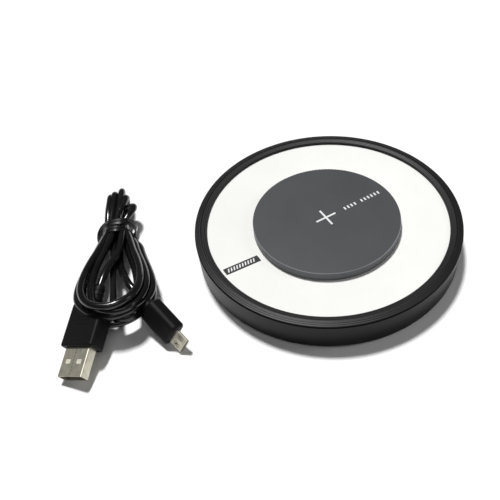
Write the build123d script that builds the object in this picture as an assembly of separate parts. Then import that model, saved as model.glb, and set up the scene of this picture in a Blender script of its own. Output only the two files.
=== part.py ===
from build123d import *
import math
import os

# A round wireless charging pad and its detached USB lead, tied in a hank beside it.
# Millimetres, +Z up. The origin is the middle of the plane that the rubber feet stand on.
# +X points from the pad's middle to its socket.

# Pad envelope
PAD_RADIUS = 57.0
WALL = 2.2
DRAFT = 0.25
FLOOR_Z = 0.8
FLOOR_THICK = 1.8
FLOOR_EDGE_RADIUS = 1.0
SEAM_Z = 13.75
SEAM_GROOVE = 0.45
WALL_INNER = PAD_RADIUS - WALL
FLOOR_TOP_Z = FLOOR_Z + FLOOR_THICK

# Bezel ring
RIDGE_RADIUS = 54.4
RIDGE_Z = 14.55
BEZEL_EDGE_Z = 14.05
BEZEL_EDGE_RADIUS = PAD_RADIUS - 0.1
LIP_RADIUS = 51.7
LIP_TOP_Z = 13.8
SKIRT_OUTER = WALL_INNER - 0.1
SKIRT_INNER = 52.6
SKIRT_LOW_Z = 9.6
SNAP_WIDTH, SNAP_HEIGHT, SNAP_DEPTH = 6.0, 1.2, 0.5
SNAP_Z = 11.2
SNAP_ANGLES = (30, 120, 210, 300)

# Top plate, charging disc and their prints
# The plate is a shallow dish: flat at its rim, and lower where it meets the disc
PLATE_RADIUS, PLATE_HOLE_RADIUS = 52.45, 29.0
PLATE_RIM_Z, PLATE_RIM_THICK, PLATE_RIM_INNER = 12.8, 1.4, 51.6
PLATE_RIM_LOW_Z = PLATE_RIM_Z - PLATE_RIM_THICK
PLATE_HOLE_Z, PLATE_HOLE_THICK = 10.5, 1.1
PLATE_STEP_RADIUS = 50.5
DISC_RADIUS = 31.6
DISC_TOP_Z = 14.9
DISC_EDGE = 0.35
DISC_SEAT_Z = 11.8
SPIGOT_RADIUS = PLATE_HOLE_RADIUS - 0.1
COIL_RECESS_RADIUS = 24.4
COIL_RECESS_Z = 12.4
PRINT_THICK = 0.06
PLUS_LENGTH, PLUS_STROKE = 9.7, 0.85
TICK_START, TICK_PITCH, TICK_HEIGHT, TICK_STROKE = 9.8, 1.75, 1.7, 0.75
TICK_GROUPS = ((0, 4), (5, 6))
LABEL_LENGTH, LABEL_WIDTH, LABEL_THICK = 16.3, 3.5, 0.12
LABEL_MIDDLE = (-42.2, -1.1)
LABEL_TURN = 1.4

# Inner frame, light ring
FRAME_LOW_Z = 8.0
FRAME_WEB = 1.0
FRAME_RADIUS = 52.4
FRAME_WALL_INNER = 50.6
POCKET_INNER, POCKET_OUTER = 26.0, 28.8
WEB_TOP_Z = FRAME_LOW_Z + FRAME_WEB
LED_BOARD_INNER, LED_BOARD_OUTER, LED_BOARD_THICK = 45.6, 50.3, 0.8
LED_COUNT = 12
LED_SIZE = (2.8, 3.2, 0.8)
LIGHT_SLOT_X, LIGHT_SLOT_TURN = -43.6, 20.0
DIFFUSER_INNER, DIFFUSER_OUTER, DIFFUSER_THICK = 29.4, 50.3, 0.3

# Coil stack, from the inner frame's web up to the charging disc
FERRITE_RADIUS, FERRITE_THICK = 23.8, 1.2
COIL_INNER, COIL_OUTER, COIL_THICK = 9.5, 22.5, 1.4
COIL_TURNS = 10
TURN_GAP = 0.1
FERRITE_TOP_Z = WEB_TOP_Z + FERRITE_THICK
COIL_TOP_Z = FERRITE_TOP_Z + COIL_THICK

# Circuit board and what is on it
BOARD_LOW_Z = 4.0
BOARD_THICK = 1.2
BOARD_RADIUS = 24.0
BOARD_TONGUE_WIDTH, BOARD_TONGUE_END = 18.0, 53.4
BOARD_TOP_Z = BOARD_LOW_Z + BOARD_THICK
POST_PLACES = ((-16.0, 12.0), (-16.0, -12.0), (34.0, 6.5), (34.0, -6.5))
POST_RADIUS, POST_PIN_RADIUS = 2.2, 0.9

# Socket, a micro-B receptacle at the +X wall
SOCKET_WIDTH, SOCKET_HEIGHT, SOCKET_DEPTH = 7.5, 2.75, 5.4
SOCKET_SHEET = 0.3
SOCKET_FRONT_X = 55.5
SOCKET_Z = BOARD_TOP_Z + SOCKET_HEIGHT / 2
RECESS_WIDTH, RECESS_HEIGHT, RECESS_RADIUS = 12.4, 8.4, 2.6
RECESS_FLOOR_X = 55.6

# Screws and feet share four places
SCREW_CIRCLE_RADIUS = 42.0
SCREW_ANGLES = (45, 135, 225, 315)
BOSS_RADIUS = 3.75
SCREW_SHANK_RADIUS, SCREW_HEAD_RADIUS, SCREW_HEAD = 0.95, 2.0, 1.5
SCREW_SEAT_Z = 3.4
SCREW_END_Z = 9.4
FOOT_RADIUS, FOOT_THICK, FOOT_SINK = 5.5, 1.4, 0.6

# Lead. Its own axes: v runs along the hank to its folded tips, u across it, and z up.
LEAD_TURN = -23.5
HANK_MIDDLE = (-92.0, 0.0)
CORD_DIAMETER = 3.2
TIE_PLACE = (-1.2, 17.0, 6.1)
TIE_INNER, TIE_THICK, TIE_WIDTH = (5.6, 5.3), 0.6, 3.0

# USB-A plug: where its shell leaves the overmold, and how it lies
USB_A_PLACE, USB_A_HEADING, USB_A_DIP, USB_A_LEAN = (-12.9, -45.2, 6.6), -106.6, 13.0, 18.0
USB_A_SHELL = (12.0, 4.5, 11.9)
USB_A_SHEET = 0.32
USB_A_ROOT = 5.0
USB_A_MOULD = (18.5, 16.0, 8.0)
USB_A_RELIEF = 9.0

# Micro-B plug, the same way
MICRO_PLACE, MICRO_HEADING, MICRO_DIP, MICRO_LEAN = (23.9, -43.6, 5.2), -52.7, 16.0, 58.0
MICRO_SHELL = (6.85, 1.8, 6.0)
MICRO_SHEET = 0.25
MICRO_ROOT = 3.0
MICRO_MOULD = (16.0, 10.4, 7.0)
MICRO_RELIEF = 8.0

# The pear-shaped part of the hank, a tilted slab with an open middle: circles as u, v, radius
HANK_OUTLINE = ((1.2, -28.0, 16.2), (-1.3, 12.5, 5.0))
HANK_OPENING = ((1.6, -27.4, 6.0), (-1.0, -4.5, 1.3))
HANK_THICK, HANK_EDGE, HANK_INNER_EDGE = 10.4, 4.2, 3.5
HANK_HINGE, HANK_RISE = (0.0, 12.5, 6.3), 13.6

# The neck through the tie and the folded bundle behind it
HANK_NECK_RADIUS, HANK_NECK_ENDS = 5.2, (8.0, 24.0)
HANK_BUNDLE_SIZE, HANK_BUNDLE_MIDDLE = (15.4, 27.0, 10.4), (0.6, 33.0, 0.2)
HANK_BUNDLE_CORNER, HANK_BUNDLE_EDGE = 6.5, 3.5

# Route of each lead into the hank, after a straight run out of its plug's strain relief
LEAD_EXIT = 6.0
USB_A_LEAD = ((-2.6, -8.6, 12.9), (-0.6, -2.6, 11.6), (1.0, 4.4, 10.4))
MICRO_LEAD = ((4.6, -16.6, 11.8), (2.3, -10.6, 9.4), (0.5, -4.4, 7.2), (0.0, 4.0, 5.6))


def turned(points):
    """A solid turned about Z from (radius, z) corners."""
    return revolve(Plane.XZ * make_face(Polyline(*points, close=True)), Axis.Z)


def ring(inner, outer, z_low, z_high):
    """A flat ring, or a disc where inner is 0."""
    flat = Circle(outer) - Circle(inner) if inner else Circle(outer)
    return Pos(0, 0, z_low) * extrude(flat, z_high - z_low)


def block(x_size, y_size, z_size, place):
    """A box standing on the height place[2]."""
    return Pos(*place) * Box(x_size, y_size, z_size, align=(Align.CENTER, Align.CENTER, Align.MIN))


def polar_places(radius, angles):
    """Places on a circle about Z."""
    return [Rot(0, 0, angle) * Pos(radius, 0, 0) for angle in angles]


def arc_radii(points, share=0.45):
    """The arc at each corner of a route: a share of the shorter run over tan(half the turn)."""
    radii = []
    for before, corner, after in zip(points, points[1:], points[2:]):
        run_in = Vector(*corner) - Vector(*before)
        run_out = Vector(*after) - Vector(*corner)
        half_turn = math.radians(run_in.get_angle(run_out)) / 2
        radii.append(share * min(run_in.length, run_out.length) / math.tan(half_turn))
    return radii


def tube(points, radius, name):
    """A round tube along straight runs joined by arcs, with its figures printed."""
    radii = arc_radii(points)
    path = FilletPolyline(*points, radius=radii)
    start = Plane(origin=path @ 0, z_dir=path % 0)
    solid = sweep(start * Circle(radius), path=path)
    expected = math.pi * radius**2 * path.length
    print(name, "length", round(path.length, 1), "volume ratio", round(solid.volume / expected, 3))
    print(name, "arc radii", [round(value, 1) for value in radii])
    return solid


# Pad


def bottom_housing():
    profile = (
        (0, FLOOR_Z),
        (PAD_RADIUS - DRAFT, FLOOR_Z),
        (PAD_RADIUS, SEAM_Z - SEAM_GROOVE),
        (PAD_RADIUS - SEAM_GROOVE, SEAM_Z),
        (WALL_INNER, SEAM_Z),
        (WALL_INNER, FLOOR_TOP_Z),
        (0, FLOOR_TOP_Z),
    )
    body = turned(profile)
    low_edges = body.edges().filter_by(GeomType.CIRCLE).group_by(Axis.Z)[0]
    body = fillet(low_edges, FLOOR_EDGE_RADIUS)
    for spot in polar_places(SCREW_CIRCLE_RADIUS, SCREW_ANGLES):
        body += spot * Pos(0, 0, FLOOR_TOP_Z) * extrude(Circle(BOSS_RADIUS), FRAME_LOW_Z - FLOOR_TOP_Z)
        body -= spot * ring(0, FOOT_RADIUS + 0.1, FLOOR_Z - 1, FLOOR_Z + FOOT_SINK)
        body -= spot * ring(0, SCREW_HEAD_RADIUS + 0.2, FLOOR_Z, SCREW_SEAT_Z)
        body -= spot * ring(0, SCREW_SHANK_RADIUS + 0.2, FLOOR_Z, FRAME_LOW_Z + 1)
    for x, y in POST_PLACES:
        body += Pos(x, y, 0) * ring(0, POST_RADIUS, FLOOR_TOP_Z, BOARD_LOW_Z)
        body += Pos(x, y, 0) * ring(0, POST_PIN_RADIUS, FLOOR_TOP_Z, BOARD_TOP_Z + 0.6)
    for angle in SNAP_ANGLES:
        low_middle = (WALL_INNER, 0, SNAP_Z - 0.2)
        pocket = block(2 * SNAP_DEPTH + 0.4, SNAP_WIDTH + 0.6, SNAP_HEIGHT + 0.4, low_middle)
        body -= Rot(0, 0, angle) * pocket
    recess = Plane.YZ * Pos(0, SOCKET_Z) * RectangleRounded(RECESS_WIDTH, RECESS_HEIGHT, RECESS_RADIUS)
    body -= Pos(RECESS_FLOOR_X, 0, 0) * extrude(recess, 5)
    slot = Plane.YZ * Pos(0, SOCKET_Z) * RectangleRounded(SOCKET_WIDTH + 0.5, SOCKET_HEIGHT + 0.5, 0.8)
    return body - Pos(WALL_INNER - 4, 0, 0) * extrude(slot, 8)


def bezel_ring():
    profile = (
        (LIP_RADIUS, PLATE_RIM_Z),
        (LIP_RADIUS, LIP_TOP_Z),
        (LIP_RADIUS + 0.2, LIP_TOP_Z + 0.15),
        (RIDGE_RADIUS - 0.4, RIDGE_Z - 0.25),
        (RIDGE_RADIUS - 0.25, RIDGE_Z - 0.3),
        (RIDGE_RADIUS, RIDGE_Z),
        (RIDGE_RADIUS + 0.4, RIDGE_Z - 0.05),
        (BEZEL_EDGE_RADIUS - 0.15, BEZEL_EDGE_Z),
        (BEZEL_EDGE_RADIUS, BEZEL_EDGE_Z - 0.12),
        (PAD_RADIUS - SEAM_GROOVE, SEAM_Z),
        (SKIRT_OUTER, SEAM_Z),
        (SKIRT_OUTER, SKIRT_LOW_Z),
        (SKIRT_INNER, SKIRT_LOW_Z),
        (SKIRT_INNER, PLATE_RIM_Z),
    )
    body = turned(profile)
    for angle in SNAP_ANGLES:
        hook = block(2 * SNAP_DEPTH, SNAP_WIDTH, SNAP_HEIGHT, (SKIRT_OUTER, 0, SNAP_Z))
        body += Rot(0, 0, angle) * hook
    notch_top = SOCKET_Z + RECESS_HEIGHT / 2 + 0.6
    return body - block(8, RECESS_WIDTH + 1, notch_top - SKIRT_LOW_Z + 1, (SKIRT_OUTER, 0, SKIRT_LOW_Z - 1))


def plate_top_z(radius):
    """Height of the dished plate's top at a radius inside its rim."""
    share = (radius - PLATE_HOLE_RADIUS) / (PLATE_RIM_INNER - PLATE_HOLE_RADIUS)
    return PLATE_HOLE_Z + share * (PLATE_RIM_Z - PLATE_HOLE_Z)


def plate_low_z(radius):
    """Height of the plate's underside at a radius inside its rim."""
    share = (radius - PLATE_HOLE_RADIUS) / (PLATE_STEP_RADIUS - PLATE_HOLE_RADIUS)
    hole_low_z = PLATE_HOLE_Z - PLATE_HOLE_THICK
    return hole_low_z + share * (PLATE_RIM_LOW_Z - hole_low_z)


def white_top_plate():
    profile = (
        (PLATE_HOLE_RADIUS, plate_low_z(PLATE_HOLE_RADIUS)),
        (PLATE_STEP_RADIUS, PLATE_RIM_LOW_Z),
        (PLATE_RADIUS, PLATE_RIM_LOW_Z),
        (PLATE_RADIUS, PLATE_RIM_Z),
        (PLATE_RIM_INNER, PLATE_RIM_Z),
        (PLATE_HOLE_RADIUS, PLATE_HOLE_Z),
    )
    return turned(profile)


def charging_disc():
    profile = (
        (0, COIL_RECESS_Z),
        (COIL_RECESS_RADIUS, COIL_RECESS_Z),
        (COIL_RECESS_RADIUS, DISC_SEAT_Z),
        (SPIGOT_RADIUS, DISC_SEAT_Z),
        (SPIGOT_RADIUS, plate_top_z(SPIGOT_RADIUS)),
        (DISC_RADIUS, plate_top_z(DISC_RADIUS)),
        (DISC_RADIUS, DISC_TOP_Z),
        (0, DISC_TOP_Z),
    )
    body = turned(profile)
    body = fillet(body.edges().filter_by(GeomType.CIRCLE).group_by(Axis.Z)[-1], DISC_EDGE)
    for mark in [plus_mark()] + tick_marks():
        body -= mark
    return body


def plus_mark():
    """A plus inlaid flush in the disc."""
    cross = Rectangle(PLUS_LENGTH, PLUS_STROKE) + Rectangle(PLUS_STROKE, PLUS_LENGTH)
    return Pos(0, 0, DISC_TOP_Z - PRINT_THICK) * extrude(cross, PRINT_THICK)


def tick_marks():
    """Two groups of plain upright ticks inlaid in a row from the plus towards the socket."""
    ticks = []
    for first, count in TICK_GROUPS:
        for step in range(first, first + count):
            x = TICK_START + step * TICK_PITCH
            ticks.append(block(TICK_STROKE, TICK_HEIGHT, PRINT_THICK, (x, 0, DISC_TOP_Z - PRINT_THICK)))
    return ticks


def label_tab():
    """A thin strip that follows the dish of the plate."""
    body = block(LABEL_LENGTH, LABEL_WIDTH, 4, (0, 0, 0))
    body = fillet(body.edges().filter_by(Axis.Z), 0.3)
    body = Pos(*LABEL_MIDDLE, PLATE_HOLE_Z - 0.5) * Rot(0, 0, LABEL_TURN) * body
    inner, outer = DISC_RADIUS + 0.5, PLATE_RIM_INNER - 0.2
    skin = (
        (inner, plate_top_z(inner)),
        (outer, plate_top_z(outer)),
        (outer, plate_top_z(outer) + LABEL_THICK),
        (inner, plate_top_z(inner) + LABEL_THICK),
    )
    return body & turned(skin)


def inner_frame():
    body = ring(0, FRAME_RADIUS, FRAME_LOW_Z, WEB_TOP_Z)
    body += ring(FRAME_WALL_INNER, FRAME_RADIUS, FRAME_LOW_Z, PLATE_RIM_LOW_Z)
    body += ring(POCKET_INNER, POCKET_OUTER, FRAME_LOW_Z, DISC_SEAT_Z)
    for spot in polar_places(SCREW_CIRCLE_RADIUS, SCREW_ANGLES):
        body += spot * ring(0, 3.0, FRAME_LOW_Z, SCREW_END_Z + 0.5)
        body -= spot * ring(0, SCREW_SHANK_RADIUS + 0.05, FRAME_LOW_Z - 1, SCREW_END_Z + 0.1)
    coil_slot = block(1.7, 7.0, FRAME_WEB + 2, (-FERRITE_RADIUS - 1.0, 0, FRAME_LOW_Z - 1))
    light_slot = block(1.8, 5.0, FRAME_WEB + 2, (LIGHT_SLOT_X, 0, FRAME_LOW_Z - 1))
    return body - coil_slot - Rot(0, 0, LIGHT_SLOT_TURN) * light_slot


def light_board():
    return ring(LED_BOARD_INNER, LED_BOARD_OUTER, WEB_TOP_Z, WEB_TOP_Z + LED_BOARD_THICK)


def light_emitters():
    middle = (LED_BOARD_INNER + LED_BOARD_OUTER) / 2
    angles = [360 / LED_COUNT * (index + 0.5) for index in range(LED_COUNT)]
    base_z = WEB_TOP_Z + LED_BOARD_THICK
    return [spot * block(*LED_SIZE, (0, 0, base_z)) for spot in polar_places(middle, angles)]


def diffuser_sheet():
    inner_z, outer_z = plate_low_z(DIFFUSER_INNER), plate_low_z(DIFFUSER_OUTER)
    profile = (
        (DIFFUSER_INNER, inner_z - DIFFUSER_THICK),
        (DIFFUSER_OUTER, outer_z - DIFFUSER_THICK),
        (DIFFUSER_OUTER, outer_z),
        (DIFFUSER_INNER, inner_z),
    )
    return turned(profile)


def ferrite_sheet():
    return ring(0, FERRITE_RADIUS, WEB_TOP_Z, FERRITE_TOP_Z)


def transmit_coil():
    """Each turn of the flat winding as one ring of litz wire."""
    pitch = (COIL_OUTER - COIL_INNER) / COIL_TURNS
    turns = []
    for index in range(COIL_TURNS):
        inner = COIL_INNER + index * pitch
        turn = ring(inner, inner + pitch - TURN_GAP, FERRITE_TOP_Z, COIL_TOP_Z)
        turns.append(fillet(turn.edges().group_by(Axis.Z)[-1], 0.3))
    return turns


def coil_adhesive():
    return ring(COIL_INNER - 0.5, COIL_OUTER, COIL_TOP_Z, COIL_RECESS_Z)


def thermistor():
    bead = ring(0, 1.3, FERRITE_TOP_Z, COIL_TOP_Z)
    return fillet(bead.edges().group_by(Axis.Z)[-1], 0.5)


def wire_pair(route, gap, radius, name):
    """Two wires side by side along a route in the XZ plane."""
    path = [(x, 0, z) for x, z in route]
    wire = tube(path, radius, name)
    return [Pos(0, side * gap / 2, 0) * wire for side in (-1, 1)]


def coil_leads():
    drop_x = -FERRITE_RADIUS - 1.0
    route = ((1 - COIL_OUTER, 10.9), (drop_x, 10.9), (drop_x, 5.7), (-20.6, 5.7))
    return wire_pair(route, 3.0, 0.45, "coil lead")


def light_leads():
    board_z = WEB_TOP_Z + LED_BOARD_THICK / 2
    start = (-LED_BOARD_INNER + 0.02, board_z)
    route = (start, (LIGHT_SLOT_X, board_z), (LIGHT_SLOT_X, 6.4), (-32.0, 5.6), (-21.4, 5.7))
    return [Rot(0, 0, LIGHT_SLOT_TURN) * wire for wire in wire_pair(route, 2.0, 0.4, "light lead")]


def main_board():
    tongue = Pos(BOARD_TONGUE_END / 2, 0) * Rectangle(BOARD_TONGUE_END, BOARD_TONGUE_WIDTH)
    outline = Circle(BOARD_RADIUS) + tongue
    for x, y in POST_PLACES:
        outline -= Pos(x, y) * Circle(POST_PIN_RADIUS + 0.1)
    return Pos(0, 0, BOARD_LOW_Z) * extrude(outline, BOARD_THICK)


def controller_chip():
    return block(7.0, 7.0, 0.9, (6.0, 0, BOARD_TOP_Z))


def switching_transistors():
    return [block(3.3, 3.3, 0.9, (x, y, BOARD_TOP_Z)) for x in (-5.0, -1.0) for y in (-8.5, 8.5)]


def resonant_capacitors():
    return [block(2.5, 3.2, 2.2, (x, 0, BOARD_TOP_Z)) for x in (-16.0, -12.5, -9.0, -5.5)]


def input_capacitors():
    return [block(1.8, 3.2, 1.6, (41.5, y, BOARD_TOP_Z)) for y in (-5.5, 0, 5.5)]


def power_inductor():
    body = block(6.2, 6.2, 2.4, (24.0, 0, BOARD_TOP_Z))
    return fillet(body.edges().filter_by(Axis.Z), 1.0)


def socket_place(z_offset=0.0):
    """The middle of the socket's open front, with the local Z axis pointing out of it."""
    return Pos(SOCKET_FRONT_X, 0, SOCKET_Z + z_offset) * Rot(0, 90, 0) * Rot(0, 0, 90)


def socket_shell():
    outer = RectangleRounded(SOCKET_WIDTH, SOCKET_HEIGHT, 0.5)
    inner = RectangleRounded(SOCKET_WIDTH - 2 * SOCKET_SHEET, SOCKET_HEIGHT - 2 * SOCKET_SHEET, 0.25)
    body = extrude(outer, -SOCKET_DEPTH) - extrude(inner, -(SOCKET_DEPTH - SOCKET_SHEET))
    return socket_place() * body


def socket_tongue():
    depth = SOCKET_DEPTH - SOCKET_SHEET
    inside = (SOCKET_WIDTH - 2 * SOCKET_SHEET - 0.1, SOCKET_HEIGHT - 2 * SOCKET_SHEET - 0.1)
    base = Pos(0, 0, -depth) * extrude(Rectangle(*inside), 1.0)
    blade = Pos(0, 0.3, -depth) * extrude(Rectangle(4.0, 0.6), depth - 0.7)
    return socket_place() * (base + blade)


def socket_contacts():
    place = socket_place(0.3)
    depth = SOCKET_DEPTH - SOCKET_SHEET
    strips = []
    for index in range(5):
        strip = Pos((index - 2) * 0.65, -0.36, 0.95 - depth) * extrude(Rectangle(0.3, 0.1), depth - 2.2)
        strips.append(place * strip)
    return strips


def housing_screws():
    screws = []
    for spot in polar_places(SCREW_CIRCLE_RADIUS, SCREW_ANGLES):
        head_low_z = SCREW_SEAT_Z - SCREW_HEAD
        screw = ring(0, SCREW_HEAD_RADIUS, head_low_z, SCREW_SEAT_Z)
        screw += ring(0, SCREW_SHANK_RADIUS, SCREW_SEAT_Z, SCREW_END_Z)
        for turn in (0, 90):
            screw -= Rot(0, 0, turn) * block(2.2, 0.5, 0.8, (0, 0, head_low_z))
        screws.append(spot * screw)
    return screws


def rubber_feet():
    foot = ring(0, FOOT_RADIUS, 0, FOOT_THICK)
    foot = fillet(foot.edges().group_by(Axis.Z)[0], 0.35)
    return [spot * foot for spot in polar_places(SCREW_CIRCLE_RADIUS, SCREW_ANGLES)]


def rating_label():
    body = block(38.0, 24.0, 0.1, (0, 0, FLOOR_Z - 0.1))
    return fillet(body.edges().filter_by(Axis.Z), 2.0)


# Lead


def lead_frame():
    """The lead's own axes in the pad's frame."""
    return Rot(0, 0, LEAD_TURN) * Pos(*HANK_MIDDLE, 0)


def plug_frame(place, heading, dip, lean):
    """A plug's axes: X out to its tip, Y and Z across its wide and narrow sides."""
    return lead_frame() * Pos(*place) * Rot(0, 0, heading) * Rot(0, dip, 0) * Rot(lean, 0, 0)


def lead_points(plug, size, relief, route):
    """A lead's route in its own axes: out of the strain relief, straight on, then as listed."""
    inward = lead_frame().inverse() * plug
    back = -size[0] - relief
    ends = [(inward * Pos(x, 0, 0)).position for x in (back, back - LEAD_EXIT)]
    return [tuple(end) for end in ends] + list(route)


def usb_a_frame():
    return plug_frame(USB_A_PLACE, USB_A_HEADING, USB_A_DIP, USB_A_LEAN)


def micro_frame():
    return plug_frame(MICRO_PLACE, MICRO_HEADING, MICRO_DIP, MICRO_LEAN)


def along(x_low, x_high, flat):
    """A flat outline in YZ drawn out along X from x_low to x_high."""
    return Pos(x_low, 0, 0) * extrude(Plane.YZ * flat, x_high - x_low)


def moulded_grip(size, corner, root, cavity):
    """An overmold: a long rounded block behind X = 0, with a seat for the shell's root."""
    length, width, thick = size
    body = along(-length, 0, RectangleRounded(width, thick, corner))
    body = fillet(body.edges().group_by(Axis.X)[0], min(1.4, 0.8 * corner))
    body = fillet(body.edges().group_by(Axis.X)[-1], min(1.3, 0.65 * corner))
    return body - along(-root, 1, cavity)


def strain_relief(length, start_x, big, small):
    """A ribbed taper from radius big at the overmold to radius small where the cord leaves."""
    ribs = 4
    points = [(0, start_x), (big, start_x)]
    for index in range(ribs):
        low = index / ribs
        radius = big + (small - big) * low
        points.append((radius, start_x - length * (low + 0.55 / ribs)))
        points.append((radius - 0.45, start_x - length * (low + 0.6 / ribs)))
        points.append((radius - 0.45, start_x - length * (low + 0.95 / ribs)))
        points.append((big + (small - big) * (low + 1 / ribs), start_x - length * (low + 1 / ribs)))
    points.append((0, start_x - length))
    profile = make_face(Polyline(*[(x, 0, radius) for radius, x in points], close=True))
    return revolve(profile, Axis.X)


def usb_a_shell():
    width, thick, length = USB_A_SHELL
    outer = RectangleRounded(width, thick, 0.6)
    inner = RectangleRounded(width - 2 * USB_A_SHEET, thick - 2 * USB_A_SHEET, 0.35)
    body = along(-USB_A_ROOT, length, outer) - along(-USB_A_ROOT - 1, length + 1, inner)
    for side in (-1, 1):
        body -= block(2.0, 2.4, thick + 2, (5.8, side * 2.7, -thick / 2 - 1))
    return usb_a_frame() * body


def usb_a_tongue():
    width, thick, length = USB_A_SHELL
    inside = (width - 2 * USB_A_SHEET - 0.1, thick - 2 * USB_A_SHEET - 0.1)
    base = along(-USB_A_ROOT, -0.5, RectangleRounded(*inside, 0.35))
    blade = along(-0.5, length - 0.8, Pos(0, -0.95) * RectangleRounded(inside[0], 1.8, 0.35))
    return usb_a_frame() * (base + blade)


def usb_a_contacts():
    length = USB_A_SHELL[2]
    strips = []
    for y in (-3.5, -1.0, 1.0, 3.5):
        strips.append(usb_a_frame() * block(length - 3.5, 1.2, 0.2, ((length - 2.0) / 2, y, -0.05)))
    return strips


def usb_a_overmold():
    cavity = RectangleRounded(USB_A_SHELL[0] + 0.02, USB_A_SHELL[1] + 0.02, 0.6)
    return usb_a_frame() * moulded_grip(USB_A_MOULD, 1.3, USB_A_ROOT + 0.01, cavity)


def usb_a_strain_relief():
    return usb_a_frame() * strain_relief(USB_A_RELIEF, -USB_A_MOULD[0], 2.9, 2.2)


def micro_outline(trim):
    """The micro-B shell's section: a flat tube whose lower corners are cut slanting."""
    half_w = MICRO_SHELL[0] / 2 - trim
    half_h = MICRO_SHELL[1] / 2 - trim
    slant = 0.75
    corners = (
        (half_w, half_h),
        (-half_w, half_h),
        (-half_w, 0.1),
        (-half_w + slant, -half_h),
        (half_w - slant, -half_h),
        (half_w, 0.1),
    )
    flat = make_face(Polyline(*corners, close=True))
    return fillet(flat.vertices(), 0.3 - trim / 2)


def micro_b_shell():
    length = MICRO_SHELL[2]
    hollow = along(-MICRO_ROOT - 1, length + 1, micro_outline(MICRO_SHEET))
    body = along(-MICRO_ROOT, length, micro_outline(0)) - hollow
    for side in (-1, 1):
        body -= block(1.5, 0.9, 2.0, (2.9, side * 1.85, 0))
    return micro_frame() * body


def micro_b_insert():
    base = along(-MICRO_ROOT, 0.8, micro_outline(MICRO_SHEET + 0.05))
    blade = along(0.8, MICRO_SHELL[2] - 0.9, Pos(0, -0.38) * Rectangle(4.4, 0.42))
    return micro_frame() * (base + blade)


def micro_b_contacts():
    length = MICRO_SHELL[2] - 1.2
    strips = []
    for index in range(5):
        low_middle = ((length + 0.9) / 2, (index - 2) * 0.65, -0.17)
        strips.append(micro_frame() * block(length - 0.9, 0.32, 0.12, low_middle))
    return strips


def micro_b_latches():
    """The two sprung hooks that stand out of the shell's wide face."""
    hooks = []
    for side in (-1, 1):
        corners = ((2.25, 0.15), (2.25, 0.55), (2.9, 1.25), (3.25, 1.25), (3.5, 0.55), (3.5, 0.15))
        flat = Plane.XZ * make_face(Polyline(*corners, close=True))
        hooks.append(micro_frame() * Pos(0, side * 1.85 + 0.3, 0) * extrude(flat, 0.6))
    return hooks


def micro_b_overmold():
    cavity = micro_outline(-0.01)
    return micro_frame() * moulded_grip(MICRO_MOULD, 2.3, MICRO_ROOT + 0.01, cavity)


def micro_b_strain_relief():
    return micro_frame() * strain_relief(MICRO_RELIEF, -MICRO_MOULD[0], 2.8, 2.1)


def pear(circles):
    """The outline drawn tightly round a big circle and then a small one."""
    (u1, v1, big), (u2, v2, small) = circles
    heading = math.atan2(v2 - v1, u2 - u1)
    spread = math.acos((big - small) / math.hypot(u2 - u1, v2 - v1))
    big_at = [(u1 + big * math.cos(turn), v1 + big * math.sin(turn))
              for turn in (heading + spread, heading + math.pi, heading - spread)]
    small_at = [(u2 + small * math.cos(turn), v2 + small * math.sin(turn))
                for turn in (heading + spread, heading, heading - spread)]
    sides = [Line(big_at[0], small_at[0]), Line(small_at[2], big_at[2])]
    return make_face([sides[0], ThreePointArc(*small_at), sides[1], ThreePointArc(*reversed(big_at))])


def cable_hank():
    """The outer shape of all the turns: a pear-shaped loop, a neck and a folded bundle."""
    slab = extrude(pear(HANK_OUTLINE), HANK_THICK)
    rims = slab.edges().group_by(Axis.Z)
    slab = fillet(rims[0] + rims[-1], HANK_EDGE) - extrude(pear(HANK_OPENING), HANK_THICK)
    flats = slab.faces().sort_by(Axis.Z)
    slab = fillet(flats[0].inner_wires().edges() + flats[-1].inner_wires().edges(), HANK_INNER_EDGE)
    tilt = Pos(*HANK_HINGE) * Rot(-HANK_RISE, 0, 0) * Pos(0, -HANK_HINGE[1], -HANK_THICK / 2)
    near, far = HANK_NECK_ENDS
    neck_flat = Plane.XZ * Pos(TIE_PLACE[0], TIE_PLACE[2]) * Circle(HANK_NECK_RADIUS)
    neck = Pos(0, near, 0) * extrude(neck_flat, near - far)
    width, length, height = HANK_BUNDLE_SIZE
    bundle = Pos(*HANK_BUNDLE_MIDDLE) * extrude(RectangleRounded(width, length, HANK_BUNDLE_CORNER), height)
    rims = bundle.edges().group_by(Axis.Z)
    bundle = fillet(rims[0] + rims[-1], HANK_BUNDLE_EDGE)
    return lead_frame() * (tilt * slab + neck + bundle)


def cable_tie():
    """A flat tie round the neck of the hank."""
    outer = Ellipse(TIE_INNER[0] + TIE_THICK, TIE_INNER[1] + TIE_THICK)
    flat = Plane.XZ * (outer - Ellipse(*TIE_INNER))
    u, v, z = TIE_PLACE
    return lead_frame() * Pos(u, v - TIE_WIDTH / 2, z) * extrude(flat, -TIE_WIDTH)


def usb_a_lead():
    points = lead_points(usb_a_frame(), USB_A_MOULD, USB_A_RELIEF, USB_A_LEAD)
    return lead_frame() * tube(points, CORD_DIAMETER / 2, "USB-A lead")


def micro_b_lead():
    points = lead_points(micro_frame(), MICRO_MOULD, MICRO_RELIEF, MICRO_LEAD)
    return lead_frame() * tube(points, CORD_DIAMETER / 2, "micro-B lead")


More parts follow.
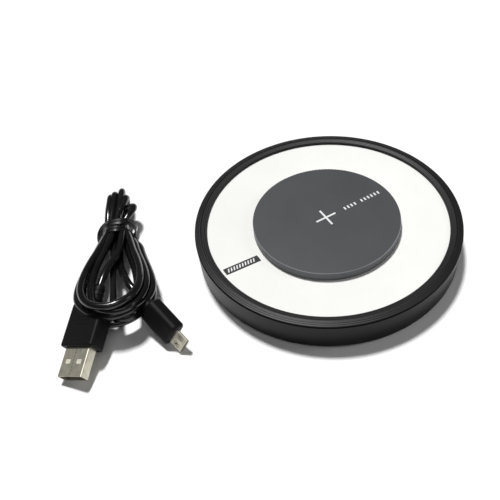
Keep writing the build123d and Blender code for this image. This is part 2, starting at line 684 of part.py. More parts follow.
PARTS = (
    bottom_housing,
    bezel_ring,
    white_top_plate,
    charging_disc,
    plus_mark,
    tick_marks,
    label_tab,
    inner_frame,
    light_board,
    light_emitters,
    diffuser_sheet,
    ferrite_sheet,
    transmit_coil,
    coil_adhesive,
    thermistor,
    coil_leads,
    light_leads,
    main_board,
    controller_chip,
    switching_transistors,
    resonant_capacitors,
    input_capacitors,
    power_inductor,
    socket_shell,
    socket_tongue,
    socket_contacts,
    housing_screws,
    rubber_feet,
    rating_label,
    usb_a_shell,
    usb_a_tongue,
    usb_a_contacts,
    usb_a_overmold,
    usb_a_strain_relief,
    usb_a_lead,
    micro_b_shell,
    micro_b_insert,
    micro_b_contacts,
    micro_b_latches,
    micro_b_overmold,
    micro_b_strain_relief,
    micro_b_lead,
    cable_hank,
    cable_tie,
)

os.makedirs("parts", exist_ok=True)
for make in PARTS:
    made = make()
    if isinstance(made, list):
        made = Compound(children=[piece.solid() for piece in made])
    export_step(made, f"parts/{make.__name__}.step")
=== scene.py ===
"""Looks for a round wireless charging pad and its detached USB lead, tied in a hank beside it.

Metres, in the CAD row's frame: +X runs from the pad's middle to its socket, +Z is up.
The lead has axes of its own, in mm: v runs along the hank to its folded tips, u across it, z up.
"""

import math

import bmesh
import bpy
from mathutils import Matrix, Vector


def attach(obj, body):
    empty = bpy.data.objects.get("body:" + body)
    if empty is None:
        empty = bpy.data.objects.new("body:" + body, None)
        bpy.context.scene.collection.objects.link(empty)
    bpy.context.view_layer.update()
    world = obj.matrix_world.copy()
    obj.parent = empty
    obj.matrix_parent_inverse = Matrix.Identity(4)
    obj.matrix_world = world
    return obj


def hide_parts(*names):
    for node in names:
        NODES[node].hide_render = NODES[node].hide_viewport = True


MM = 0.001
# the lead's axes, the lights and the camera are all turned by this about Z
LEAD_TURN = math.radians(-23.5)
HANK_MIDDLE = (-92.0, 0.0)
CORD_DIAMETER = 3.2

# plugs in the lead's axes: middle of the overmold's mouth, heading, dip and lean in degrees
USB_PLUG = ((-12.9, -45.2, 6.6), -106.6, 13.0, 18.0)
MICRO_PLUG = ((23.9, -43.6, 5.2), -52.7, 16.0, 58.0)

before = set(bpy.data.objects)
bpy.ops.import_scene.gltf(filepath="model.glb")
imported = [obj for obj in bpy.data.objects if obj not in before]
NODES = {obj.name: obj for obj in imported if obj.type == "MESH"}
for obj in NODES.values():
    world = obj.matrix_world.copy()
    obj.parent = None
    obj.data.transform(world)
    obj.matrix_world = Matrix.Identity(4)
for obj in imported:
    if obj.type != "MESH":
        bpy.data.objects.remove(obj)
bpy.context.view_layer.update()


# Lead: its own axes and route


def lead_place(u, v, z):
    """A place in the lead's axes, in mm, as metres in the row frame."""
    x, y = u + HANK_MIDDLE[0], v + HANK_MIDDLE[1]
    turned_x = x * math.cos(LEAD_TURN) - y * math.sin(LEAD_TURN)
    turned_y = x * math.sin(LEAD_TURN) + y * math.cos(LEAD_TURN)
    return Vector((turned_x, turned_y, z)) * MM


def plug_place(plug, x, y, z):
    """A place in a plug's axes (x out of its mouth, y across, z up), in mm, as metres in the row frame."""
    place, heading, dip, lean = plug
    turned = (Matrix.Rotation(math.radians(heading), 3, "Z") @ Matrix.Rotation(math.radians(dip), 3, "Y")
              @ Matrix.Rotation(math.radians(lean), 3, "X") @ Vector((x, y, z)))
    return lead_place(*(Vector(place) + turned))


TIE_V = 17.0
# each end of the lead, from its plug to near the tie, and then its u and height at the tie
USB_END = [(-5.24, -19.5, 12.8), (-3.8, -14.8, 13.9), (-1.9, -8.6, 12.9), (0.5, -2.6, 11.6), (1.9, 4.4, 10.4)]
MICRO_END = [(9.9, -25.2, 11.8), (6.9, -21.3, 13.2), (5.0, -16.6, 11.8), (3.0, -10.6, 9.4), (1.2, -4.4, 7.2),
             (0.2, 4.0, 5.6)]
USB_AT_TIE, MICRO_AT_TIE = (1.9, 9.5), (-0.4, 4.6)
# left, right and front reach, height at the front, and where each side passes the tie: u and height
TURNS = {
    "bottom": (14.6, 15.2, 36.0, 7.4, (-4.0, 3.0), (-1.6, 1.9)),
    "top": (12.0, 11.8, 36.2, 19.4, (-3.4, 9.4), (2.9, 7.4)),
    "outer": (14.9, 15.9, 36.7, 13.4, (-5.2, 7.2), (0.9, 2.3)),
    "inner": (8.5, 13.8, 36.6, 16.4, (-1.0, 9.9), (3.1, 4.4)),
}
# the narrow turn whose left side stands alone in the opening
MIDDLE_TURN = [(-1.4, 17.0, 7.0), (-1.9, 10.0, 7.5), (-2.0, 1.0, 8.1), (-1.5, -8.0, 8.7), (-0.8, -17.0, 9.3),
               (-0.2, -25.0, 9.8), (-0.1, -32.9, 10.4), (2.7, -35.7, 10.4), (6.6, -35.7, 10.4),
               (9.4, -32.9, 10.3), (9.6, -25.0, 9.4), (9.4, -17.0, 8.6), (8.0, -8.0, 7.8), (5.4, 1.0, 6.9),
               (3.3, 10.0, 6.1), (1.4, 17.0, 5.4)]
# folds behind the tie: the upper side's u, the fold's v, the upper height, the lower side's u and height,
# and how far both sides bow across
TIPS = {
    "hidden": (-4.6, 29.6, 4.8, 3.4, 5.8, 0.4),
    "left_middle": (-2.3, 40.0, 10.1, -3.0, 1.7, 0.2),
    "right_middle": (3.2, 36.7, 10.0, 1.6, 1.8, -0.3),
    "left": (-4.2, 38.5, 9.9, -4.7, 1.8, 0.1),
    "middle": (1.1, 41.8, 10.0, -0.6, 1.7, 0.5),
    "right": (7.5, 29.4, 10.4, 0.8, 3.8, 0.3),
}
# each fold with the turn that follows it, from the micro-B end; the USB-A end follows the last
WINDING = (("hidden", "bottom"), ("left_middle", "top"), ("right_middle", "middle"), ("left", "outer"),
           ("middle", "inner"), ("right", None))

# shape of a turn: how far out its sides are near the tie, as shares of their reach, and how much more for
# each mm that the reach is over the usual one
PINCH_LEFT, PINCH_RIGHT = 0.40, 0.44
USUAL_REACH, REACH_SPREAD = 12.0, 0.03
# its front: how far back its corners and shoulders are at the usual half width, and how far out the
# shoulders are, as a share of the half width
USUAL_HALF_WIDTH, CORNER_BACK, SHOULDER_BACK, SHOULDER_SHARE = 13.5, 5.4, 1.3, 0.42
# shape of a fold: where each side's middle point is, and how much higher than the side
FOLD_MIDDLE, FOLD_HUMP = 0.45, 0.3
# its end, in shares of its width: how round it is, and how far back and in the sides start to bend
FOLD_ROUND, FOLD_BEND_BACK, FOLD_BEND_IN = 0.15, 0.7, 0.6
FOLD_END_SHARES = (0.29, 0.71)
SPLINE_STEPS = 8


def turn_side(reach, sign, front, height, tie, depth):
    """One side of a turn, from the tie to near the front: the pear's widening side."""
    spread = REACH_SPREAD * (reach - USUAL_REACH)
    pinch = PINCH_LEFT if sign < 0 else PINCH_RIGHT
    # v, and how far out the side is there, as a share of its reach
    shares = ((10.0, pinch + spread), (1.0, 0.61 + spread / 2), (-8.0, 0.85), (-17.0, 1.0), (-25.0, 1.0),
              (CORNER_BACK * depth - front, 0.78))
    rise = (height - tie[1]) / (TIE_V + front)
    points = [(tie[0], TIE_V, tie[1])]
    for v, share in shares:
        points.append((sign * reach * share, v, tie[1] + rise * (TIE_V - v)))
    return points


def turn(name):
    """From the tie down the left side, round the front and up the right side."""
    if name == "middle":
        return MIDDLE_TURN
    left, right, front, height, tie_left, tie_right = TURNS[name]
    middle, half = (right - left) / 2, (right + left) / 2
    depth = half / USUAL_HALF_WIDTH
    shoulder_v = SHOULDER_BACK * depth - front
    shoulder_u = SHOULDER_SHARE * half
    round_front = [(middle - shoulder_u, shoulder_v, height), (middle, -front, height),
                   (middle + shoulder_u, shoulder_v, height)]
    return (turn_side(left, -1, front, height, tie_left, depth) + round_front
            + turn_side(right, 1, front, height, tie_right, depth)[::-1])


def fold(name, tie_low, tie_high):
    """From the lower side of a fold round its end to its upper side."""
    high_u, v, high, low_u, low, bow = TIPS[name]
    wide = math.hypot(high_u - low_u, high - low)
    sides, drift = [], 0.0
    for side_u, height, tie in ((low_u, low, tie_low), (high_u, high, tie_high)):
        slope = (side_u - tie[0]) / (v - TIE_V)
        drift += FOLD_ROUND * slope * wide
        middle_u = tie[0] + FOLD_MIDDLE * (side_u - tie[0]) + bow
        middle = (middle_u, TIE_V + FOLD_MIDDLE * (v - TIE_V), height + FOLD_HUMP)
        bend = (side_u - FOLD_BEND_IN * slope * wide, v - FOLD_BEND_BACK * wide, height)
        sides.append([middle, bend, (side_u, v - FOLD_ROUND * wide, height)])
    ends = [(low_u + share * (high_u - low_u) + drift, v + FOLD_ROUND * wide, low + share * (high - low))
            for share in FOLD_END_SHARES]
    return sides[0] + ends + sides[1][::-1]


def lead_route():
    """The whole lead, from the micro-B plug through every turn of the hank to the USB-A plug."""
    arriving = MICRO_AT_TIE
    points = MICRO_END + [(arriving[0], TIE_V, arriving[1])]
    for tip, loop in WINDING:
        around = turn(loop) if loop else [(USB_AT_TIE[0], TIE_V, USB_AT_TIE[1])]
        points += fold(tip, arriving, around[0][::2]) + around
        arriving = around[-1][::2]
    return points + USB_END[::-1]


def spline_length(points):
    """Length of the order 3 spline with these control points."""
    total, before = 0.0, Vector(points[0])
    for index in range(1, len(points) - 1):
        corner = Vector(points[index])
        start = Vector(points[0]) if index == 1 else (Vector(points[index - 1]) + corner) / 2
        end = Vector(points[-1]) if index == len(points) - 2 else (corner + Vector(points[index + 1])) / 2
        for step in range(1, SPLINE_STEPS + 1):
            t = step / SPLINE_STEPS
            here = (1 - t) ** 2 * start + 2 * t * (1 - t) * corner + t * t * end
            total += (here - before).length
            before = here
    return total


# Materials

RELIEF_DEPTH = 0.0002
RING_SCALE, RING_BUMP = 420.0, 0.25
GRID_LINE = 0.015
# a colour ramp holds nothing above 1, so it holds factors divided by this
RAMP_SCALE = 10.0
METAL_GRAIN, METAL_BLOTCH, METAL_STRETCH = 300.0, 400.0, (1.0, 1.0, 30.0)
WARM, COOL = (1.0, 1.0, 0.97), (0.96, 0.99, 1.06)
BEIGE = (1.05, 1.0, 0.82)


def grey(value, tint=(1.0, 1.0, 1.0)):
    """A grey of this lightness, or a slightly tinted one."""
    return tuple(value * share for share in tint)


def new_material(name):
    """A new material, its nodes, its links and its shader."""
    material = bpy.data.materials.new(name)
    material.use_nodes = True
    nodes = material.node_tree.nodes
    return material, nodes, material.node_tree.links, nodes["Principled BSDF"]


def of_kind(nodes, kind):
    """A material's nodes of one kind, in the order in which they were made."""
    return [node for node in nodes if node.type == kind]


def set_stops(ramp, *stops):
    """Sets a new colour ramp's stops, each a position and a colour."""
    elements = ramp.color_ramp.elements
    for position, _ in stops[1:-1]:
        elements.new(position)
    for element, (position, colour) in zip(elements, stops):
        element.position = position
        element.color = (*colour, 1)


def plastic(name, dark, light, roughness, grain=2500.0, bump=0.05, blotch=60.0, specular=0.5):
    """Moulded plastic: cloudy colour, fine spark-eroded grain and uneven gloss."""
    material, nodes, links, shader = new_material(name)
    shader.inputs["Specular IOR Level"].default_value = specular
    place = nodes.new("ShaderNodeTexCoord")
    cloud = nodes.new("ShaderNodeTexNoise")
    cloud.inputs["Scale"].default_value = blotch
    cloud.inputs["Detail"].default_value = 6.0
    links.new(place.outputs["Object"], cloud.inputs["Vector"])
    ramp = nodes.new("ShaderNodeValToRGB")
    set_stops(ramp, (0.3, dark), (0.7, light))
    links.new(cloud.outputs["Fac"], ramp.inputs["Fac"])
    links.new(ramp.outputs["Color"], shader.inputs["Base Color"])
    grit = nodes.new("ShaderNodeTexNoise")
    grit.inputs["Scale"].default_value = grain
    grit.inputs["Detail"].default_value = 2.0
    links.new(place.outputs["Object"], grit.inputs["Vector"])
    gloss = nodes.new("ShaderNodeMapRange")
    gloss.inputs["To Min"].default_value = roughness[0]
    gloss.inputs["To Max"].default_value = roughness[1]
    links.new(grit.outputs["Fac"], gloss.inputs["Value"])
    links.new(gloss.outputs["Result"], shader.inputs["Roughness"])
    relief = nodes.new("ShaderNodeBump")
    relief.inputs["Strength"].default_value = bump
    relief.inputs["Distance"].default_value = RELIEF_DEPTH
    links.new(grit.outputs["Fac"], relief.inputs["Height"])
    links.new(relief.outputs["Normal"], shader.inputs["Normal"])
    return material


def ringed(material):
    """Fine turned rings round the pad's axis, added under the grain."""
    nodes, links = material.node_tree.nodes, material.node_tree.links
    rings = nodes.new("ShaderNodeTexWave")
    rings.wave_type = "RINGS"
    rings.rings_direction = "Z"
    rings.inputs["Scale"].default_value = RING_SCALE
    place = of_kind(nodes, "TEX_COORD")[0]
    grain = of_kind(nodes, "BUMP")[0]
    links.new(place.outputs["Object"], rings.inputs["Vector"])
    turned = nodes.new("ShaderNodeBump")
    turned.inputs["Strength"].default_value = RING_BUMP
    turned.inputs["Distance"].default_value = RELIEF_DEPTH
    links.new(rings.outputs["Fac"], turned.inputs["Height"])
    links.new(turned.outputs["Normal"], grain.inputs["Normal"])
    return material


def gridded(material, line, scale):
    """Straight crossing lines: tracks under a board's mask, or the ruled table of a label."""
    nodes, links = material.node_tree.nodes, material.node_tree.links
    place = of_kind(nodes, "TEX_COORD")[0]
    ramp = of_kind(nodes, "VALTORGB")[0]
    rows = nodes.new("ShaderNodeTexBrick")
    rows.inputs["Scale"].default_value = scale
    rows.inputs["Mortar Size"].default_value = GRID_LINE
    rows.offset = 0.0
    rows.inputs["Mortar"].default_value = (*line, 1)
    links.new(place.outputs["Object"], rows.inputs["Vector"])
    for side in ("Color1", "Color2"):
        links.new(ramp.outputs["Color"], rows.inputs[side])
    links.new(rows.outputs["Color"], nodes["Principled BSDF"].inputs["Base Color"])
    return material


def painted_edge_highlight(material, side, edge):
    """Paints light into a moulding's colour: painted bounce light brightens its upright side and a painted
    highlight brightens its rounded top edge, by these factors.
    """
    nodes, links = material.node_tree.nodes, material.node_tree.links
    place = of_kind(nodes, "TEX_COORD")[0]
    ramp = of_kind(nodes, "VALTORGB")[0]
    parts = nodes.new("ShaderNodeSeparateXYZ")
    links.new(place.outputs["Normal"], parts.inputs["Vector"])
    painted_light_ramp = nodes.new("ShaderNodeValToRGB")
    # painted light by how far up the surface faces: painted bounce light on the upright side, a painted
    # highlight on the rounded edge and the own colour on the flat top
    set_stops(painted_light_ramp, (0.1, grey(side / RAMP_SCALE)), (0.5, grey(edge / RAMP_SCALE)),
              (0.98, grey(1 / RAMP_SCALE)))
    links.new(parts.outputs["Z"], painted_light_ramp.inputs["Fac"])
    product = nodes.new("ShaderNodeVectorMath")
    product.operation = "MULTIPLY"
    links.new(ramp.outputs["Color"], product.inputs[0])
    links.new(painted_light_ramp.outputs["Color"], product.inputs[1])
    scale = nodes.new("ShaderNodeVectorMath")
    scale.operation = "SCALE"
    scale.inputs["Scale"].default_value = RAMP_SCALE
    links.new(product.outputs["Vector"], scale.inputs["Vector"])
    links.new(scale.outputs["Vector"], nodes["Principled BSDF"].inputs["Base Color"])
    return material


def metal(name, dark, light, roughness, metallic=1.0):
    """Plated sheet metal with drawing marks and slight tarnish."""
    material = plastic(name, dark, light, roughness, grain=METAL_GRAIN, bump=0.03, blotch=METAL_BLOTCH)
    nodes, links = material.node_tree.nodes, material.node_tree.links
    nodes["Principled BSDF"].inputs["Metallic"].default_value = metallic
    mapping = nodes.new("ShaderNodeMapping")
    mapping.inputs["Scale"].default_value = METAL_STRETCH
    grit = of_kind(nodes, "TEX_NOISE")[1]
    place = of_kind(nodes, "TEX_COORD")[0]
    links.new(place.outputs["Object"], mapping.inputs["Vector"])
    links.new(mapping.outputs["Vector"], grit.inputs["Vector"])
    return material


MATERIALS = {
    "housing_black": plastic("housing_black", grey(0.002), grey(0.003, COOL), (0.34, 0.44), bump=0.06,
                             specular=0.17),
    "bezel_black": ringed(plastic("bezel_black", grey(0.006), grey(0.009), (0.36, 0.46), bump=0.05,
                                  specular=0.22)),
    "plate_white": plastic("plate_white", grey(0.76, WARM), grey(0.79, WARM), (0.3, 0.4), bump=0.01),
    # the disc's colour holds painted light: painted bounce light on its side and a painted highlight along
    # its top edge
    "disc_grey": painted_edge_highlight(plastic("disc_grey", grey(0.05, COOL), grey(0.057, COOL), (0.42, 0.5),
                                   grain=1800.0, bump=0.05, specular=0.22), side=2.9, edge=9.0),
    "mark_pale": plastic("mark_pale", grey(0.62), grey(0.75), (0.4, 0.5)),
    "tab_dark": plastic("tab_dark", grey(0.025), grey(0.04), (0.4, 0.5), specular=0.2),
    "frame_white": plastic("frame_white", grey(0.6), grey(0.7), (0.4, 0.5)),
    "board_green": gridded(plastic("board_green", (0.01, 0.08, 0.03), (0.02, 0.14, 0.05), (0.25, 0.35)),
                           line=(0.06, 0.24, 0.08), scale=160.0),
    "emitter_cream": plastic("emitter_cream", (0.7, 0.6, 0.3), (0.8, 0.75, 0.5), (0.3, 0.4)),
    "diffuser_frost": plastic("diffuser_frost", grey(0.75), grey(0.85), (0.6, 0.7)),
    "ferrite_grey": plastic("ferrite_grey", grey(0.03), grey(0.06), (0.5, 0.7), blotch=300.0),
    "copper_litz": metal("copper_litz", (0.6, 0.22, 0.1), (0.8, 0.35, 0.16), (0.3, 0.45)),
    "adhesive_clear": plastic("adhesive_clear", (0.6, 0.5, 0.3), (0.7, 0.6, 0.4), (0.3, 0.4)),
    "wire_red": plastic("wire_red", (0.3, 0.02, 0.02), (0.4, 0.03, 0.03), (0.3, 0.4)),
    "chip_black": plastic("chip_black", grey(0.012), grey(0.02), (0.5, 0.6)),
    "ceramic_tan": plastic("ceramic_tan", (0.35, 0.22, 0.12), (0.45, 0.3, 0.17), (0.4, 0.5)),
    "plug_steel": metal("plug_steel", grey(0.5, BEIGE), grey(0.68, BEIGE), (0.3, 0.42), metallic=0.8),
    "gold": metal("gold", (0.75, 0.5, 0.18), (0.9, 0.65, 0.28), (0.2, 0.3)),
    # pale beige for the painted reflection in the USB-A shell's windows
    "painted_window_reflection": plastic("painted_window_reflection", grey(0.5, BEIGE), grey(0.7, BEIGE), (0.35, 0.45), blotch=900.0),
    # dark metal for the USB-A shell's real seam, and painted shade in the micro-B shell's pressed grooves
    "seam_and_painted_groove_shade": metal("seam_and_painted_groove_shade", grey(0.05), grey(0.09), (0.4, 0.5)),
    "insert_black": plastic("insert_black", grey(0.015), grey(0.025), (0.4, 0.5)),
    "screw_steel": metal("screw_steel", grey(0.4), grey(0.55), (0.25, 0.4)),
    "rubber_black": plastic("rubber_black", grey(0.02), grey(0.035), (0.75, 0.9), bump=0.2),
    "label_white": gridded(plastic("label_white", grey(0.7), grey(0.75), (0.5, 0.6)),
                           line=grey(0.3), scale=60.0),
    "cable_black": plastic("cable_black", grey(0.004), grey(0.008), (0.14, 0.24), grain=900.0, bump=0.03,
                           blotch=120.0),
    "overmold_black": plastic("overmold_black", grey(0.003), grey(0.006), (0.46, 0.58), bump=0.08,
                              specular=0.16),
    "tie_black": plastic("tie_black", grey(0.003), grey(0.006), (0.28, 0.4), bump=0.05, specular=0.3),
}
NODE_MATERIALS = {
    "bottom_housing": "housing_black", "bezel_ring": "bezel_black", "white_top_plate": "plate_white",
    "charging_disc": "disc_grey", "plus_mark": "mark_pale", "tick_marks": "mark_pale",
    "label_tab": "tab_dark", "inner_frame": "frame_white", "light_board": "board_green",
    "light_emitters": "emitter_cream", "diffuser_sheet": "diffuser_frost",
    "ferrite_sheet": "ferrite_grey", "transmit_coil": "copper_litz", "coil_adhesive": "adhesive_clear",
    "thermistor": "chip_black", "coil_leads": "copper_litz", "light_leads": "wire_red",
    "main_board": "board_green", "controller_chip": "chip_black", "switching_transistors": "chip_black",
    "resonant_capacitors": "ceramic_tan", "input_capacitors": "ceramic_tan",
    "power_inductor": "ferrite_grey", "socket_shell": "plug_steel", "socket_tongue": "insert_black",
    "socket_contacts": "gold", "housing_screws": "screw_steel", "rubber_feet": "rubber_black",
    "rating_label": "label_white", "usb_a_shell": "plug_steel", "usb_a_tongue": "insert_black",
    "usb_a_contacts": "gold", "usb_a_overmold": "overmold_black", "usb_a_strain_relief": "overmold_black",
    "micro_b_shell": "plug_steel", "micro_b_insert": "insert_black", "micro_b_contacts": "gold",
    "micro_b_latches": "plug_steel", "micro_b_overmold": "overmold_black",
    "micro_b_strain_relief": "overmold_black",
}


def paint(piece, material):
    """Gives a piece one material all over."""
    piece.data.materials.clear()
    piece.data.materials.append(material)


for node, material_name in NODE_MATERIALS.items():
    paint(NODES[node], MATERIALS[material_name])


# Pieces

CORD_RESOLUTION, CORD_BEVEL_RESOLUTION = 8, 6
WELD_DISTANCE = 1e-7


def cord_piece(name, points, diameter):
    """A round cord along one open NURBS spline with these control points, in the lead's axes."""
    data = bpy.data.curves.new(name, "CURVE")
    data.dimensions = "3D"
    spline = data.splines.new("NURBS")
    spline.points.add(len(points) - 1)
    for control, point in zip(spline.points, points):
        control.co = (*lead_place(*point), 1.0)
    spline.order_u = 3
    spline.use_endpoint_u = True
    spline.resolution_u = CORD_RESOLUTION
    data.bevel_depth = diameter / 2 * MM
    data.bevel_resolution = CORD_BEVEL_RESOLUTION
    data.use_fill_caps = True
    piece = bpy.data.objects.new(name, data)
    bpy.context.scene.collection.objects.link(piece)
    return piece


route = lead_route()
lead = cord_piece("lead_cord", route, CORD_DIAMETER)
paint(lead, MATERIALS["cable_black"])
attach(lead, "lead")
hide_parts("cable_hank", "usb_a_lead", "micro_b_lead")
spline_length(route) * MM


def mesh_piece(name, body, material_name, vertices, faces, smooth=False):
    """A new mesh that rides with a body."""
    mesh = bpy.data.meshes.new(name)
    mesh.from_pydata([tuple(vertex) for vertex in vertices], [], faces)
    work = bmesh.new()
    work.from_mesh(mesh)
    bmesh.ops.remove_doubles(work, verts=work.verts, dist=WELD_DISTANCE)
    bmesh.ops.recalc_face_normals(work, faces=work.faces)
    work.to_mesh(mesh)
    work.free()
    for polygon in mesh.polygons:
        polygon.use_smooth = smooth
    piece = bpy.data.objects.new(name, mesh)
    bpy.context.scene.collection.objects.link(piece)
    paint(piece, MATERIALS[material_name])
    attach(piece, body)
    return piece


# twist tie, from its right end to its left: middle of the ribbon and the way its width points, in the
# lead's axes
TIE_PATH = (
    ((7.4, 9.0, 2.6), (1.0, 0.6, 0.4)), ((6.4, 11.9, 5.2), (0.8, 0.6, 0.5)),
    ((4.6, 13.3, 8.6), (0.3, 0.9, 0.4)), ((2.4, 13.6, 11.3), (0.1, 1.0, 0.2)),
    ((0.3, 13.5, 12.3), (0.0, 1.0, 0.1)), ((-2.0, 13.7, 12.3), (0.0, 1.0, 0.1)),
    ((-4.4, 14.3, 11.5), (0.0, 1.0, 0.1)), ((-7.0, 16.0, 8.4), (0.1, 1.0, 0.0)),
    ((-7.9, 17.2, 4.4), (0.0, 1.0, 0.0)), ((-5.4, 18.0, 0.7), (0.0, 1.0, 0.0)),
    ((0.0, 18.0, 0.5), (0.0, 1.0, 0.0)), ((4.6, 18.0, 0.9), (0.0, 1.0, 0.0)),
    ((6.5, 18.7, 3.2), (0.1, 1.0, 0.1)), ((6.9, 19.6, 5.6), (0.2, 1.0, 0.1)),
    ((6.0, 19.6, 8.2), (0.2, 1.0, 0.2)), ((4.4, 18.9, 10.6), (0.1, 1.0, 0.2)),
    ((2.4, 18.2, 11.9), (0.0, 1.0, 0.1)),
    ((-0.4, 18.0, 12.2), (0.1, 1.0, 0.1)), ((-3.6, 18.2, 11.7), (0.1, 1.0, 0.1)),
    ((-5.8, 18.7, 10.2), (-0.1, 1.0, 0.0)), ((-7.7, 18.5, 8.2), (-0.5, 0.9, 0.0)),
    ((-8.6, 16.9, 6.8), (-0.9, 0.5, 0.0)), ((-8.7, 14.4, 5.6), (-1.0, 0.1, 0.0)),
    ((-8.1, 12.0, 4.4), (-1.0, -0.2, 0.0)), ((-7.1, 10.0, 3.4), (-1.0, -0.3, 0.0)),
)
TIE_WIDTH = 3.2
TIE_STEPS = 6
# upper half of the ribbon's section: share of the half width, and height; the wire is in the middle
TIE_SECTION = ((-1.0, 0.16), (-0.92, 0.2), (-0.55, 0.13), (-0.22, 0.15), (-0.12, 0.28), (0.0, 0.34),
               (0.12, 0.28), (0.22, 0.15), (0.55, 0.13), (0.92, 0.2), (1.0, 0.16))


def smoothed(rows):
    """Rows of vectors run through by a Catmull-Rom curve."""
    result = []
    for index in range(len(rows) - 1):
        around = [rows[min(max(index + shift, 0), len(rows) - 1)] for shift in (-1, 0, 1, 2)]
        for step in range(TIE_STEPS):
            t = step / TIE_STEPS
            weights = (-t + 2 * t ** 2 - t ** 3, 2 - 5 * t ** 2 + 3 * t ** 3, t + 4 * t ** 2 - 3 * t ** 3,
                       t ** 3 - t ** 2)
            result.append([sum((weight * row[part] / 2 for weight, row in zip(weights, around)),
                               Vector((0, 0, 0))) for part in range(len(rows[0]))])
    return result + [rows[-1]]


def twist_tie():
    """A wire in a flat plastic ribbon: twice over the neck, once under it, an end forward at each side."""
    rows = smoothed([[Vector(place), Vector(across).normalized()] for place, across in TIE_PATH])
    section = list(TIE_SECTION) + [(share, -height) for share, height in TIE_SECTION[::-1]]
    vertices, faces, count = [], [], len(section)
    for index, (place, across) in enumerate(rows):
        ahead = rows[min(index + 1, len(rows) - 1)][0] - rows[max(index - 1, 0)][0]
        across = (across - across.project(ahead)).normalized()
        up = ahead.cross(across).normalized()
        for share, height in section:
            vertices.append(lead_place(*(place + across * share * TIE_WIDTH / 2 + up * height)))
    for ring_start in range(0, len(vertices) - count, count):
        for corner in range(count):
            following = (corner + 1) % count
            faces.append((ring_start + corner, ring_start + following, ring_start + count + following,
                          ring_start + count + corner))
    faces += [tuple(range(count)), tuple(range(len(vertices) - count, len(vertices)))]
    piece = mesh_piece("twist_tie", "lead", "tie_black", vertices, faces, smooth=True)
    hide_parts("cable_tie")


twist_tie()


def slabs(name, body, material_name, boxes, place):
    """Small blocks, each from its low to its high corner, in axes that a function turns into row metres."""
    sides = ((0, 1, 2, 3), (4, 5, 6, 7), (0, 1, 5, 4), (1, 2, 6, 5), (2, 3, 7, 6), (3, 0, 4, 7))
    vertices, faces = [], []
    for low, high in boxes:
        start = len(vertices)
        for z in (low[2], high[2]):
            for x, y in ((low[0], low[1]), (high[0], low[1]), (high[0], high[1]), (low[0], high[1])):
                vertices.append(place(x, y, z))
        faces += [tuple(start + corner for corner in side) for side in sides]
    mesh_piece(name, body, material_name, vertices, faces)


# the label tab and the dished plate under it, in the row's frame, in mm
TAB_MIDDLE, TAB_TURN, STROKE_SLANT = (-42.2, -1.1), math.radians(1.4), 0.4
PLATE_HOLE_RADIUS, PLATE_HOLE_Z, PLATE_WIDTH, PLATE_RISE = 29.0, 10.5, 22.6, 2.3
# the USB-A shell's windows and the pale blocks behind them, which stand for painted reflection in the
# windows, in the plug's axes
WINDOW_START, WINDOW_END, WINDOW_OFFSET, WINDOW_HALF_WIDTH = 4.88, 6.72, 2.7, 1.12
WINDOW_BLOCK_LOWS, WINDOW_BLOCK_THICK = (-2.2, 1.7), 0.5
# the lines pressed round the micro-B shell's latches, in the plug's axes: dark strips that are painted shade
# in the pressed grooves
LATCH_OFFSET, PRESSING_HALF_WIDTH, PRESSING_LINE = 1.85, 0.85, 0.16
PRESSING_START, PRESSING_END = 1.5, 4.2
PRESSING_LOW_Z, PRESSING_HIGH_Z = 0.86, 0.94


def usb_plug_place(x, y, z):
    """A place in the USB-A plug's axes, in mm, as metres in the row frame."""
    return plug_place(USB_PLUG, x, y, z)


def micro_plug_place(x, y, z):
    """A place in the micro-B plug's axes, in mm, as metres in the row frame."""
    return plug_place(MICRO_PLUG, x, y, z)


def tab_place(x, y, z):
    """A place over the label tab (x towards the disc, y across, z up from the dished plate), slanted."""
    along = x + STROKE_SLANT * y
    row_x = TAB_MIDDLE[0] + along * math.cos(TAB_TURN) - y * math.sin(TAB_TURN)
    row_y = TAB_MIDDLE[1] + along * math.sin(TAB_TURN) + y * math.cos(TAB_TURN)
    plate_z = PLATE_HOLE_Z + (math.hypot(row_x, row_y) - PLATE_HOLE_RADIUS) * PLATE_RISE / PLATE_WIDTH
    return Vector((row_x, row_y, plate_z + z)) * MM


def window_blocks():
    """Pale blocks under the USB-A shell's four windows: painted reflection in the windows."""
    boxes = []
    for side in (-1, 1):
        middle = side * WINDOW_OFFSET
        for low in WINDOW_BLOCK_LOWS:
            boxes.append(((WINDOW_START, middle - WINDOW_HALF_WIDTH, low),
                          (WINDOW_END, middle + WINDOW_HALF_WIDTH, low + WINDOW_BLOCK_THICK)))
    return boxes


def latch_pressings():
    """A pressed frame round each latch, as dark strips of painted shade: the lines across the shell, then the
    lines along it.
    """
    half_line = PRESSING_LINE / 2
    inset = PRESSING_HALF_WIDTH - half_line
    lines_across, lines_along = [], []
    for side in (-1, 1):
        middle = side * LATCH_OFFSET
        for x in (PRESSING_START, PRESSING_END):
            lines_across.append(((x, middle - PRESSING_HALF_WIDTH, PRESSING_LOW_Z),
                                 (x + PRESSING_LINE, middle + PRESSING_HALF_WIDTH, PRESSING_HIGH_Z)))
        for shift in (-inset, inset):
            lines_along.append(((PRESSING_START + PRESSING_LINE, middle + shift - half_line, PRESSING_LOW_Z),
                                (PRESSING_END, middle + shift + half_line, PRESSING_HIGH_Z)))
    return lines_across + lines_along


def bars(low, high, pitch, count):
    """A row of equal blocks along x, from the first one's low and high corners."""
    return [((low[0] + pitch * step, *low[1:]), (high[0] + pitch * step, *high[1:])) for step in range(count)]


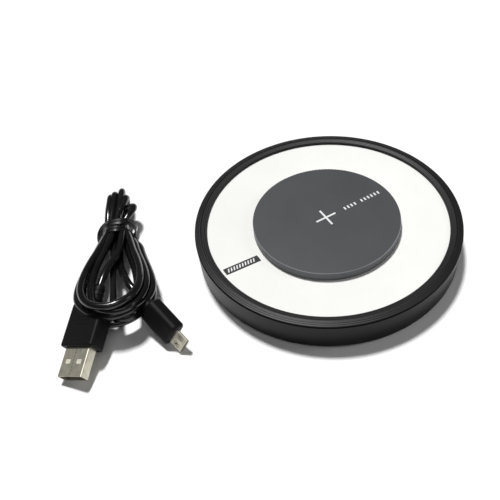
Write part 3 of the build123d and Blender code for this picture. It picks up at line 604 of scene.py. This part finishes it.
# pale blocks of painted reflection in the USB-A shell's windows
slabs("usb_a_window_blocks", "lead", "painted_window_reflection", window_blocks(), usb_plug_place)
slabs("usb_a_seam", "lead", "seam_and_painted_groove_shade",
      bars(low=(0.5, -0.1, 2.2), high=(1.4, 0.1, 2.27), pitch=1.4, count=8), usb_plug_place)
slabs("usb_a_grip_bars", "lead", "overmold_black",
      bars(low=(-9.9, -2.6, 3.9), high=(-9.2, 2.6, 4.14), pitch=-1.5, count=3), usb_plug_place)
slabs("micro_b_grip_bars", "lead", "overmold_black",
      bars(low=(-6.6, -1.7, 3.4), high=(-6.0, 1.7, 3.64), pitch=-1.4, count=3), micro_plug_place)
# dark strips of painted shade where the micro-B shell is pressed round its latches
slabs("micro_b_pressings", "lead", "seam_and_painted_groove_shade", latch_pressings(), micro_plug_place)
slabs("tab_strokes", "pad", "mark_pale",
      bars(low=(-6.6, -0.95, 0.08), high=(-6.0, 0.95, 0.15), pitch=1.32, count=10), tab_place)


# Floor, light and camera

FLOOR_SIZE = 30.0
WORLD_STRENGTH = 0.06
CAMERA_PLACE = (-0.1092, -0.1654, 0.2142)
CAMERA_LENS, SENSOR_WIDTH = 46.8, 36.0
# up from straight down, and leaning round the line of sight
CAMERA_TILT, CAMERA_LEAN = math.radians(42.47), math.radians(-7.82)


def floor():
    """A plain pale floor under everything."""
    bpy.ops.mesh.primitive_plane_add(size=FLOOR_SIZE, location=(0, 0, 0))
    piece = bpy.context.object
    piece.name = "studio_floor"
    paint(piece, plastic("floor_white", grey(0.9), grey(0.9), (0.7, 0.8), bump=0.0))


def sun(name, travel, width, strength):
    """A distant light, width degrees wide, that travels along a direction in axes turned by LEAD_TURN."""
    data = bpy.data.lights.new(name, "SUN")
    data.energy = strength
    data.angle = math.radians(width)
    lamp = bpy.data.objects.new(name, data)
    direction = Matrix.Rotation(LEAD_TURN, 3, "Z") @ Vector(travel)
    lamp.rotation_euler = direction.to_track_quat("-Z", "Y").to_euler()
    bpy.context.scene.collection.objects.link(lamp)


def softbox(name, place, size, power):
    """A rectangular light at a place in axes turned by LEAD_TURN, aimed at the pad's middle."""
    data = bpy.data.lights.new(name, "AREA")
    data.shape = "RECTANGLE"
    data.size, data.size_y = size
    data.energy = power
    lamp = bpy.data.objects.new(name, data)
    lamp.location = Matrix.Rotation(LEAD_TURN, 3, "Z") @ Vector(place)
    lamp.rotation_euler = (-lamp.location).to_track_quat("-Z", "Y").to_euler()
    bpy.context.scene.collection.objects.link(lamp)


def camera():
    """The camera, in front of the pad and the lead and looking down at both."""
    data = bpy.data.cameras.new("camera")
    data.sensor_width = SENSOR_WIDTH
    data.lens = CAMERA_LENS
    data.clip_start, data.clip_end = 0.01, 20.0
    piece = bpy.data.objects.new("camera", data)
    bpy.context.scene.collection.objects.link(piece)
    piece.matrix_world = (Matrix.Translation(CAMERA_PLACE) @ Matrix.Rotation(LEAD_TURN, 4, "Z")
                          @ Matrix.Rotation(CAMERA_TILT, 4, "X") @ Matrix.Rotation(CAMERA_LEAN, 4, "Z"))
    bpy.context.scene.camera = piece


floor()
sun("key", travel=(0.1, -0.36, -1.0), width=9.0, strength=3.5)
softbox("edge", place=(0.5, -0.1, 0.35), size=(0.15, 0.15), power=0.35)
softbox("fill", place=(0.0, -0.45, 0.8), size=(0.6, 0.4), power=0.9)
world = bpy.data.worlds.new("studio")
bpy.context.scene.world = world
world.use_nodes = True
background = world.node_tree.nodes["Background"]
background.inputs["Color"].default_value = (1, 1, 1, 1)
background.inputs["Strength"].default_value = WORLD_STRENGTH
bpy.context.scene.view_settings.view_transform = "Standard"
camera()
